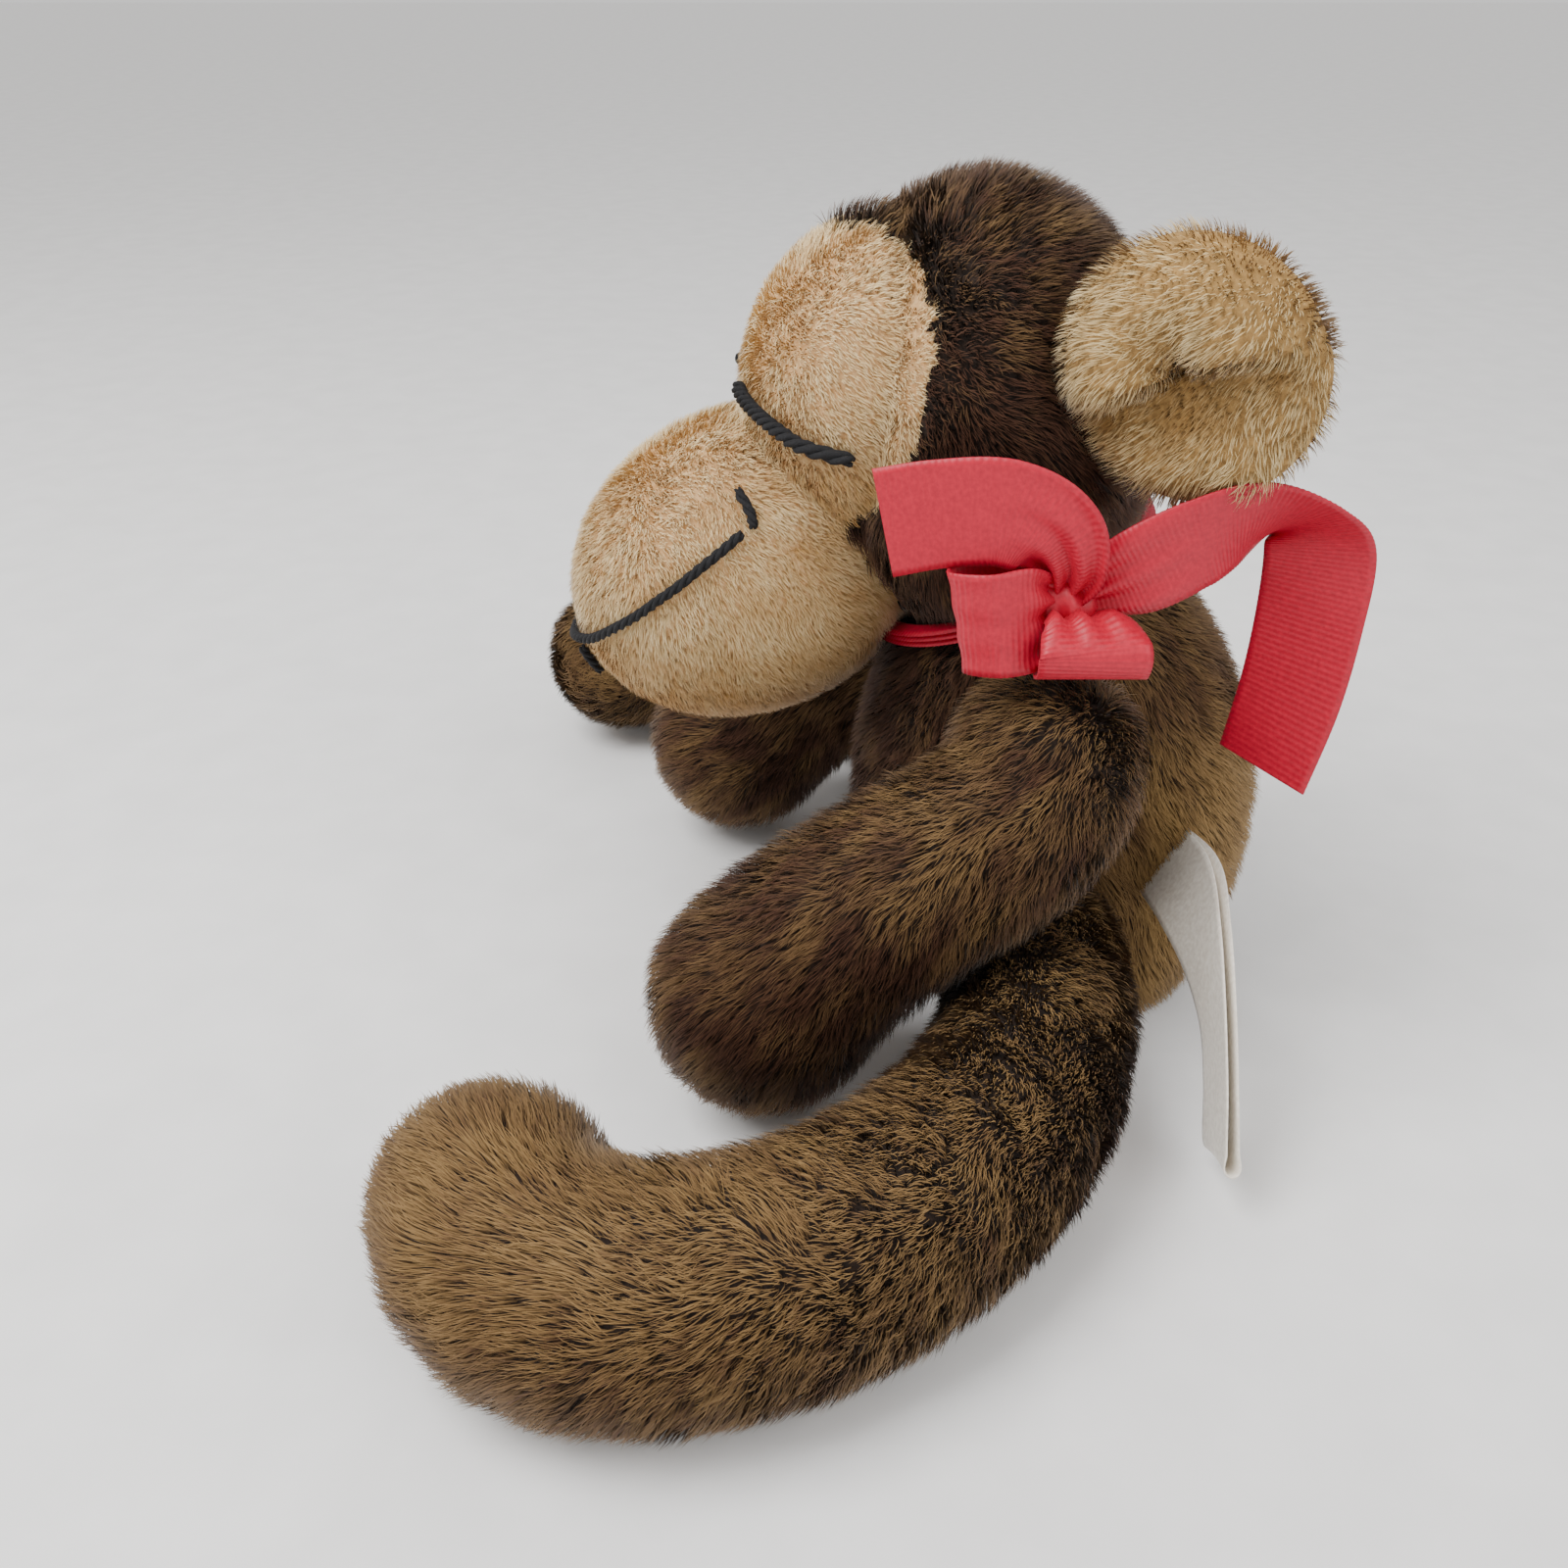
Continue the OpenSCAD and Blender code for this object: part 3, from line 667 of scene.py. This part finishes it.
def ear_pile(side, ear):
    surface, centre, facing, across_fold = ear

    def comb(points, normals):
        return 0.35 * unit(points - centre) + np.array([0, -0.5, -0.6])

    def tone(points, normals):
        height = (points - centre) @ facing
        out = np.linalg.norm(points - centre - height[:, None] * facing, axis=1)
        # Painted shade: hair in the ear's hollow is darker.
        hollow_shade = smoothstep(-height, -3.2 * MM, -1.2 * MM) * smoothstep(-out, -13 * MM, -5 * MM)
        # Painted shadow: a band of darker hair just below the folded roll, where the roll overhangs the front.
        under = np.exp(-(((points - centre) @ across_fold + 2.2 * MM) / (3 * MM)) ** 2)
        crease = under * smoothstep(-height, -3 * MM, -1.8 * MM) * smoothstep(-out, -16 * MM, -12 * MM)
        blotch = 0.12 * wave_noise(points, 8 * MM, 51) + 0.08 * wave_noise(points, 3 * MM, 52)
        # The painted shade and shadow darken only hair on the ear's front.
        return 0.74 - 0.7 * np.maximum(hollow_shade, crease) * (normals @ facing > 0) + blotch

    grow_pile(f"{side}_ear_pile", "head", EAR_PILE, surface, 3 if side == "left" else 4,
              comb, tone, EAR_DENSITY, EAR_HAIR, HAIR_WIDTH * 0.85, lean=(0.35, 0.9))


def torso_pile(piece, keep_out):
    low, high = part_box("torso_stuffing")
    waist = low.z + 0.66 * (high.z - low.z)

    def comb(points, normals):
        return np.array([0, 0.35, -0.95]) + 0 * points

    def tone(points, normals):
        behind = smoothstep(points[:, 1], 0, 20 * MM)
        lower_back = smoothstep(waist - points[:, 2], -10 * MM, 12 * MM) * behind
        # Painted shade: hair on the chest, in front and under the head, is darker.
        front = smoothstep(-points[:, 1], 5 * MM, 25 * MM)
        blotch = (0.1 * streaks(points, comb(points, normals), 6 * MM, 61)
                  + 0.08 * wave_noise(points, 15 * MM, 62))
        return 0.36 + 0.62 * lower_back - 0.34 * front + blotch

    grow_pile("torso_pile", "torso", BROWN_PILE, triangles(piece.data), 5, comb, tone,
              PILE_DENSITY, BODY_HAIR, HAIR_WIDTH, lean=(0.4, 1.05), keep_out=keep_out)


def arm_pile(side, piece, keep_out):
    shoulder = joint_place(f"{side}_arm_swing")
    low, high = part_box(f"{side}_arm_stuffing")
    hand = np.array([(low.x + high.x) / 2, low.y, low.z])
    reach = np.linalg.norm(hand - shoulder)
    way = unit(hand - shoulder)

    def comb(points, normals):
        return way + 0 * points

    def tone(points, normals):
        down = (points - shoulder) @ way / reach
        dark_hand = np.exp(-((down - 0.62) / 0.2) ** 2)
        tip = smoothstep(down, 0.78, 1.0)
        # Painted light: hair on the upward-facing top of the arm is lighter.
        top = smoothstep(normals[:, 2], 0.1, 0.9)
        blotch = (0.12 * streaks(points, comb(points, normals), 5 * MM, 71)
                  + 0.07 * wave_noise(points, 14 * MM, 72))
        return 0.3 - 0.2 * dark_hand + 0.26 * tip + 0.1 * top + blotch

    grow_pile(f"{side}_arm_pile", f"{side}_arm", BROWN_PILE, triangles(piece.data),
              6 if side == "left" else 7, comb, tone, PILE_DENSITY, BODY_HAIR, HAIR_WIDTH,
              lean=(0.4, 1.1), keep_out=keep_out)


def leg_pile(side, piece, keep_out):
    low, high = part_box(f"{side}_leg_stuffing")
    sign = 1 if side == "left" else -1
    wide, deep = high.x - low.x, high.y - low.y
    inner = low.x if sign > 0 else high.x
    bend = np.array([inner + sign * 0.3 * wide, low.y + 0.42 * deep, (low.z + high.z) / 2])

    def comb(points, normals):
        out = points - bend
        return np.stack([sign * out[:, 1], -sign * out[:, 0], 0 * out[:, 0]], 1)

    def tone(points, normals):
        behind = points[:, 1] - low.y - 0.9 * deep
        outward = np.abs(points[:, 0]) - abs(inner) - 0.48 * wide
        ragged = 3 * MM * wave_noise(points, 9 * MM, 83)
        hip_end = smoothstep(behind + 0.43 * outward + ragged, -9 * MM, 9 * MM)
        # Painted light and shade: hair facing up is lighter, hair facing down is darker.
        top = smoothstep(normals[:, 2], -0.1, 0.9)
        parted = smoothstep(streaks(points, comb(points, normals), 5 * MM, 81, 0.85), 0.6, 1.6)
        blotch = 0.07 * wave_noise(points, 14 * MM, 82)
        return 0.51 + 0.18 * top - 0.3 * hip_end - 0.3 * parted + blotch

    grow_pile(f"{side}_leg_pile", f"{side}_leg", BROWN_PILE, triangles(piece.data),
              8 if side == "left" else 9, comb, tone, PILE_DENSITY, BODY_HAIR, HAIR_WIDTH,
              lean=(0.5, 1.2), keep_out=keep_out)


# Yarn

YARN_RADIUS = 1.0 * MM
YARN_PLIES = 3
YARN_LIFT = 0.4 * MM
STITCH_END = 1.2 * MM
FUZZ_PER_MM = 9


def stitch_path(node, key, count):
    """The middle line of a CAD stitch, sorted by key."""
    points = coordinates(frame["nodes"][node].data)
    order = key(points)
    bins = np.linspace(order.min(), order.max() + 1e-9, count + 1)
    return np.array([points[(order >= a) & (order < b)].mean(0)
                     for a, b in zip(bins, bins[1:]) if ((order >= a) & (order < b)).any()])


def yarn(name, body, nodes, paths, radius, seed):
    """Twisted plies of yarn along each path, with loose fibres."""
    random = np.random.default_rng(seed)
    points, faces = [], []
    ring = 7
    for path in paths:
        length = np.linalg.norm(np.diff(path, axis=0), axis=1).sum()
        count = max(8, int(length / (0.35 * MM)))
        line = through(path, count)
        ahead = unit(np.gradient(line, axis=0))
        side = unit(np.cross(ahead, [0.13, 0.2, 1]))
        up = np.cross(side, ahead)
        taper = np.clip(np.minimum(np.arange(count), np.arange(count)[::-1]) / 3 + 0.45, 0, 1)
        for ply in range(YARN_PLIES):
            phase = np.arange(count) * 0.42 + 2 * math.pi * ply / YARN_PLIES
            middle = line + (np.cos(phase)[:, None] * side + np.sin(phase)[:, None] * up) * radius * 0.48
            start = len(points)
            for i in range(count):
                for k in range(ring):
                    a = 2 * math.pi * k / ring
                    size = radius * 0.56 * taper[i] * (1 + 0.1 * math.sin(5.1 * i + 2 * k))
                    points.append(middle[i] + (math.cos(a) * side[i] + math.sin(a) * up[i]) * size)
            for i in range(count - 1):
                for k in range(ring):
                    a, b = start + i * ring, start + (i + 1) * ring
                    faces.append((a + k, a + (k + 1) % ring, b + (k + 1) % ring, b + k))
            faces.append(tuple(range(start + ring - 1, start - 1, -1)))
            faces.append(tuple(range(start + (count - 1) * ring, start + count * ring)))
        for _ in range(int(length / MM * FUZZ_PER_MM)):
            i = random.integers(count)
            out = unit(random.normal(size=3))
            root = line[i] + out * radius * 0.8
            tip = root + unit(out + 0.8 * random.normal(size=3)) * random.uniform(0.4, 1.1) * MM
            thin = unit(np.cross(out, random.normal(size=3))) * 0.05 * MM
            faces.append((len(points), len(points) + 1, len(points) + 2))
            points += [root - thin, root + thin, tip]
    piece = new_mesh(name, points, faces)
    piece.data.materials.append(YARN)
    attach(piece, body)
    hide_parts(*nodes)
    return piece


def make_stitches():
    """The closed eyes and the mouth. Returns the paths, so that the pile leaves them room."""
    muzzle = mid("muzzle_skin")
    paths = []
    for side in ("left", "right"):
        path = stitch_path(f"{side}_eye_stitch", lambda p: np.abs(p[:, 0]), 7)
        path = path + unit(path - mid("head_stuffing")) * YARN_LIFT
        yarn(f"{side}_eye_yarn", "head", [f"{side}_eye_stitch"], [path], YARN_RADIUS * 1.2, 11)
        paths.append(path)
    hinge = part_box("mouth_stitch")[1].y
    path = stitch_path("mouth_stitch", lambda p: np.arctan2(p[:, 0], hinge - p[:, 1]), 25)
    path = path + unit(path - muzzle) * YARN_LIFT
    yarn("mouth_yarn", "head", ["mouth_stitch"], [path], YARN_RADIUS * 0.85, 12)
    paths.append(path)
    for node, seed in (("mouth_corner_stitches", 13), ("lip_stitches", 14)):
        points = coordinates(frame["nodes"][node].data)
        lines = []
        for sign in (1, -1):
            own = points[points[:, 0] * sign > 0]
            top, bottom = own[:, 2].max(), own[:, 2].min()
            ends = [own[own[:, 2] > top - STITCH_END].mean(0), own.mean(0),
                    own[own[:, 2] < bottom + STITCH_END].mean(0)]
            lines.append(np.array(ends) + unit(np.array(ends) - muzzle) * YARN_LIFT)
        yarn(node.replace("stitches", "yarn"), "head", [node], lines, YARN_RADIUS * 0.85, seed)
        paths += lines
    return paths


def near_paths(paths, gap):
    """A test of whether points lie within gap of the paths."""
    spots = np.vstack([through(path, 60) for path in paths])

    def test(points):
        found = np.zeros(len(points), bool)
        for spot in spots:
            found |= ((points - spot) ** 2).sum(1) < gap * gap
        return found

    return test


# Ribbon and label

RIBBON_WIDTH = 16 * MM
RIBBON_THICKNESS = 0.35 * MM
RIB_PITCH = 0.75 * MM
RIB_HEIGHT = 0.05 * MM


def strip(name, body, nodes, material, stations, full_width, thickness,
          rib_height=RIB_HEIGHT, across_steps=14):
    """A strip of woven cloth through stations of (place, way across, width). Where it is narrower
    than its full width, it is pleated, so that none of the cloth is lost."""
    places = np.array([s[0] for s in stations], float)
    ways = unit(np.array([s[1] for s in stations], float))
    widths = np.array([s[2] for s in stations], float)[:, None]
    length = np.linalg.norm(np.diff(through(places, 200), axis=0), axis=1).sum()
    count = max(24, int(length / (RIB_PITCH / 4)))
    line = through(places, count)
    way = unit(through(ways, count))
    width = through(widths, count)[:, 0]
    ahead = unit(np.gradient(line, axis=0))
    way = unit(way - (way * ahead).sum(1, keepdims=True) * ahead)
    face = np.cross(ahead, way)
    along = np.linspace(0, length, count)
    ribs = rib_height * np.sin(2 * math.pi * along / RIB_PITCH)
    spread = np.linspace(-0.5, 0.5, across_steps + 1)
    slack = np.sqrt(np.maximum(full_width**2 - width**2, 0)) / 2
    pleats = 3
    fold = 2 * np.abs((spread * pleats) % 1 - 0.5) - 0.5
    points = []
    for side in (0.5, -0.5):
        for i in range(count):
            lift = fold * slack[i] / pleats + side * thickness + side * 2 * ribs[i]
            points += list(line[i] + spread[:, None] * width[i] * way[i] + lift[:, None] * face[i])
    row, half = across_steps + 1, count * (across_steps + 1)
    faces = []
    for i in range(count - 1):
        for k in range(across_steps):
            a = i * row + k
            faces.append((a, a + 1, a + row + 1, a + row))
            faces.append((half + a, half + a + row, half + a + row + 1, half + a + 1))
        for a in (i * row, i * row + across_steps):
            edge = (a, a + row, half + a + row, half + a)
            faces.append(edge if a == i * row else edge[::-1])
    for i in (0, count - 1):
        for k in range(across_steps):
            a = i * row + k
            end = (a, half + a, half + a + 1, a + 1)
            faces.append(end if i == 0 else end[::-1])
    piece = new_mesh(name, points, faces)
    piece.data.materials.append(material)
    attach(piece, body)
    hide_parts(*nodes)
    return piece


def from_knot(rows):
    """Stations given in mm from the middle of the knot."""
    knot = mid("ribbon_knot")
    return [(knot + np.array(place) * MM, way, width * MM) for place, way, width in rows]


def make_bow():
    """The bow's knot, with the two tails and two loops that come out of it."""
    def ribbon(name, rows):
        strip(name, "head", [name], RIBBON, from_knot(rows), RIBBON_WIDTH,
              RIBBON_THICKNESS)

    make_knot()
    ribbon("ribbon_front_tail", [
        ((2, -0.5, 1.5), (0.3, 0.95, 0), 5), ((5, -0.5, 7), (0.35, 0.9, 0.1), 11),
        ((6.5, -3.5, 12.5), (0.2, 0.65, 0.7), 15), ((6, -10, 15.5), (0.1, 0.15, 1), 16),
        ((4, -19, 14.8), (0.05, 0, 1), 16), ((2.5, -27, 13), (0, 0.08, 1), 16)])
    ribbon("ribbon_rear_tail", [
        ((2, 1, 1), (0.1, -0.3, 0.95), 6), ((4, 9, 5.5), (0.15, -0.35, 0.92), 14),
        ((4, 18, 10.5), (0.3, -0.35, 0.88), 16), ((2.5, 26, 13.5), (0.55, -0.2, 0.8), 16),
        ((1.5, 33, 13), (0.8, 0.3, 0.5), 16), ((1, 36, 8.5), (0.55, 0.83, 0.1), 16),
        ((0, 36.5, -2), (0.6, 0.8, 0), 16), ((-1.5, 36, -15), (0.65, 0.75, 0), 16),
        ((-3, 34, -29), (0.75, 0.65, 0), 16)])
    ribbon("ribbon_front_loop", [
        ((2.5, -1.5, 0), (0, -0.2, 1), 9), ((6.5, -5, 0), (0, -0.2, 1), 15.3),
        ((8, -11, -0.5), (0, -0.2, 1), 15.9), ((5, -16, -1), (0, -0.2, 1), 15.9),
        ((1.5, -12.5, -0.5), (0, -0.2, 1), 15.9), ((1.5, -6, 0), (0, -0.2, 1), 15.3),
        ((2, -1.5, 0.5), (0, -0.2, 1), 9)])
    ribbon("ribbon_lower_loop", [
        ((2.5, 0, -1), (0, 1, 0), 8), ((6.5, 2, 0), (0, 1, 0), 13), ((11, 3.2, -3), (0, 1, 0), 16),
        ((10.5, 3.2, -7), (0, 1, 0), 16), ((6.5, 3.2, -8.5), (0, 1, 0), 16),
        ((3, 2, -6.5), (0, 1, 0), 14), ((2, 0, -3), (0, 1, 0), 8)])


KNOT_RADIUS = 4.6 * MM
KNOT_HALF_LENGTH = 5.2 * MM


def make_knot():
    """The knot: a tight wrap of ribbon with creases round it."""
    middle = mid("ribbon_knot")
    turns, steps = 48, 28
    points, faces = [], []
    for step in range(steps + 1):
        slope = math.pi * (step / steps - 0.5)
        for turn in range(turns):
            angle = 2 * math.pi * turn / turns
            crease = (1 + 0.07 * math.sin(9 * slope + 2 * math.sin(angle))
                      + 0.05 * math.sin(3 * angle + 4 * slope))
            out = KNOT_RADIUS * math.cos(slope) ** 0.7 * crease
            along = math.sin(slope) * KNOT_HALF_LENGTH
            points.append(middle + np.array([math.cos(angle) * out, along, math.sin(angle) * out]))
    for step in range(steps):
        for turn in range(turns):
            a, b = step * turns + turn, step * turns + (turn + 1) % turns
            faces.append((a, b, b + turns, a + turns))
    piece = new_mesh("ribbon_knot_wrap", points, faces)
    weld = piece.modifiers.new("weld", "WELD")
    weld.merge_threshold = 1e-6
    applied(piece)
    piece.data.materials.append(RIBBON)
    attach(piece, "head")
    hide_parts("ribbon_knot")


NECKBAND_INSET = 1.1 * MM
NECKBAND_RISE = 1.75 * MM
NECKBAND_WIDTH = 3 * MM
NECKBAND_TURNS = 24


def make_neckband():
    """The ribbon gathered tight round the neck."""
    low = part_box("ribbon_neckband")[0]
    joint = next(j for j in frame["joints"] if j["name"] == "head_turn")
    axis = unit(joint["axis"])
    side = np.array([1.0, 0, 0])
    front = np.cross(axis, side)
    radius = -low.x - NECKBAND_INSET
    middle = np.array(joint["pos_m"]) + axis * NECKBAND_RISE
    stations = []
    for turn in range(NECKBAND_TURNS + 1):
        angle = 2 * math.pi * turn / NECKBAND_TURNS
        out = math.cos(angle) * side + math.sin(angle) * front
        stations.append((middle + radius * out, axis, NECKBAND_WIDTH))
    strip("ribbon_neck_strip", "head", ["ribbon_neckband"], RIBBON, stations, RIBBON_WIDTH,
          RIBBON_THICKNESS, across_steps=12)


LABEL_WIDTH = 13.5 * MM
LABEL_THICKNESS = 0.25 * MM


def make_label():
    """A blank satin care label, folded at its tip, on its edge beside the seam that holds it."""
    low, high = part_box("care_label")
    back = high.y

    def spot(out, up, behind):
        return np.array([low.x + out * MM, back + behind * MM, up * MM])

    outward = [
        (spot(0, 34, -1), (0.45, 0.5, 0.75)), (spot(10, 34.5, 0), (0.3, 0.55, 0.8)),
        (spot(21, 31, 0.8), (0.3, 0.25, 0.95)), (spot(31, 25, 1), (0.6, 0.05, 0.85)),
        (spot(39, 17, 0.6), (0.85, 0, 0.6)), (spot(44.5, 8.5, 0.3), (0.95, 0, 0.35))]
    homeward = [(place + np.array([0, 1.6 * MM, 0]), way) for place, way in outward[::-1]]
    homeward[-1] = (homeward[-1][0] - np.array([0, 1 * MM, 0]), homeward[-1][1])
    stations = [(place, way, LABEL_WIDTH) for place, way in outward + homeward]
    strip("care_label_satin", "torso", ["care_label"], SATIN, stations, LABEL_WIDTH,
          LABEL_THICKNESS, rib_height=0.012 * MM)


# The stage

CAMERA_PLACE = (0.256, -0.050, 0.172)
CAMERA_DOWN = math.radians(28)
CAMERA_LENS = 36.1
FLOOR_SIZE = 6


def make_stage():
    ground = new_mesh("floor", [(x * FLOOR_SIZE, y * FLOOR_SIZE, 0) for x, y in
                                ((-1, -1), (1, -1), (1, 1), (-1, 1))], [(0, 1, 2, 3)])
    ground.data.materials.append(
        mottled("pale_floor", 0.55, [(0.35, "#f1f0ef"), (0.65, "#f7f6f5")], 60, 0.0004))
    world = bpy.data.worlds.new("studio")
    bpy.context.scene.world = world
    world.use_nodes = True
    world.node_tree.nodes["Background"].inputs["Color"].default_value = colour("#dcdbda")
    world.node_tree.nodes["Background"].inputs["Strength"].default_value = 1.2
    for place, size, power in (((0.25, -0.45, 0.75), 0.5, 8.5), ((0.6, 0.5, 0.6), 0.7, 3.8)):
        light = bpy.data.lights.new("softbox", "AREA")
        light.size = size
        light.energy = power
        lamp = bpy.data.objects.new("softbox", light)
        lamp.location = place
        lamp.rotation_mode = "QUATERNION"
        lamp.rotation_quaternion = (Vector(place) - Vector((0, 0, 0.06))).to_track_quat("Z", "Y")
        bpy.context.scene.collection.objects.link(lamp)
    camera = bpy.data.objects.new("camera", bpy.data.cameras.new("camera"))
    camera.data.lens = CAMERA_LENS
    camera.data.clip_start = 0.01
    camera.location = CAMERA_PLACE
    camera.rotation_euler = (math.pi / 2 - CAMERA_DOWN, 0, math.pi / 2)
    bpy.context.scene.collection.objects.link(camera)
    bpy.context.scene.camera = camera


make_stage()
finish_cad_nodes()
torso = make_torso()
limbs = {(side, limb): make_limb(side, limb) for side in ("left", "right") for limb in ("arm", "leg")}
head_surfaces, head_tree = make_head()
ears = {side: make_ear(side) for side in ("left", "right")}
stitch_paths = make_stitches()
make_bow()
make_neckband()
make_label()

torso_tree = solid_tree(torso)
limb_trees = {key: solid_tree(piece) for key, piece in limbs.items()}
torso_pile(torso, [head_tree, *limb_trees.values()])
for (side, limb), piece in limbs.items():
    others = [torso_tree, head_tree] + [tree for key, tree in limb_trees.items() if key != (side, limb)]
    (arm_pile if limb == "arm" else leg_pile)(side, piece, others)
head_pile(head_surfaces, [torso_tree, *limb_trees.values()], near_paths(stitch_paths, 1.5 * MM))
for side, ear in ears.items():
    ear_pile(side, ear)
